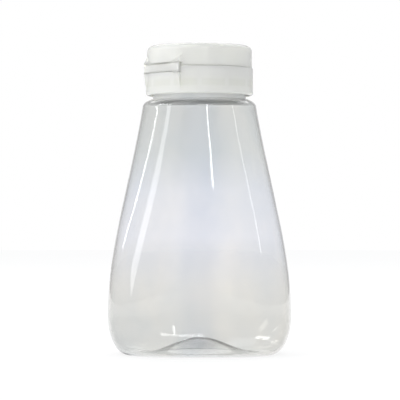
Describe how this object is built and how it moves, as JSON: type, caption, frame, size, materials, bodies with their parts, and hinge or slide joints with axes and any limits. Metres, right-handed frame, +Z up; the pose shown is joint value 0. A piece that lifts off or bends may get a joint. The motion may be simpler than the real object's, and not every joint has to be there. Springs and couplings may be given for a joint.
{
  "type": "dispensing sauce bottle with flip cap",
  "caption": "Clear oval squeeze bottle that widens downwards, with a milky screw-on flip cap: strap hinge, sealing ring in the lid, and a soft slit valve behind the pouring lip.",
  "frame": {"origin": "middle of the foot, on the surface that the bottle stands on", "axes": "+X along the oval's width, +Y to the back (the picture looks along +Y), +Z up. The hinge faces the front left, 50 degrees round from -Y towards -X."},
  "size_m": [0.0718, 0.0464, 0.121],
  "materials": {
    "clear_plastic": "clear, glossy blown plastic",
    "milky_plastic": "translucent natural plastic, satin gloss",
    "silicone": "soft translucent silicone",
    "seal_foam": "matte white foam"
  },
  "bodies": {
    "bottle_body": {"bottle": "clear_plastic"},
    "seal_body": {"seal_ring": "seal_foam"},
    "closure_body": {"closure_base": "milky_plastic", "silicone_valve": "silicone", "valve_retainer": "milky_plastic"},
    "strap_body": {"hinge_strap": "milky_plastic"},
    "lid_body": {"lid": "milky_plastic"}
  },
  "joints": [
    {"name": "cap_lift", "type": "slide", "parent": "bottle_body", "child": "seal_body", "axis": [0, 0, 1], "range_m": [0, 0.0106]},
    {"name": "cap_turn", "type": "hinge", "parent": "seal_body", "child": "closure_body", "pos_m": [0, 0, 0.11], "axis": [0, 0, 1], "range_deg": [0, 900]},
    {"name": "base_film", "type": "hinge", "parent": "closure_body", "child": "strap_body", "pos_m": [-0.01494, -0.01253, 0.1095], "axis": [0.6428, -0.766, 0], "range_deg": [0, 90]},
    {"name": "lid_film", "type": "hinge", "parent": "strap_body", "child": "lid_body", "pos_m": [-0.01494, -0.01253, 0.1133], "axis": [0.6428, -0.766, 0], "range_deg": [0, 90]}
  ],
  "couplings": [
    {"joint": "cap_lift", "follows": "cap_turn", "m_per_rad": 0.0006737},
    {"joint": "lid_film", "follows": "base_film", "ratio": 1}
  ]
}
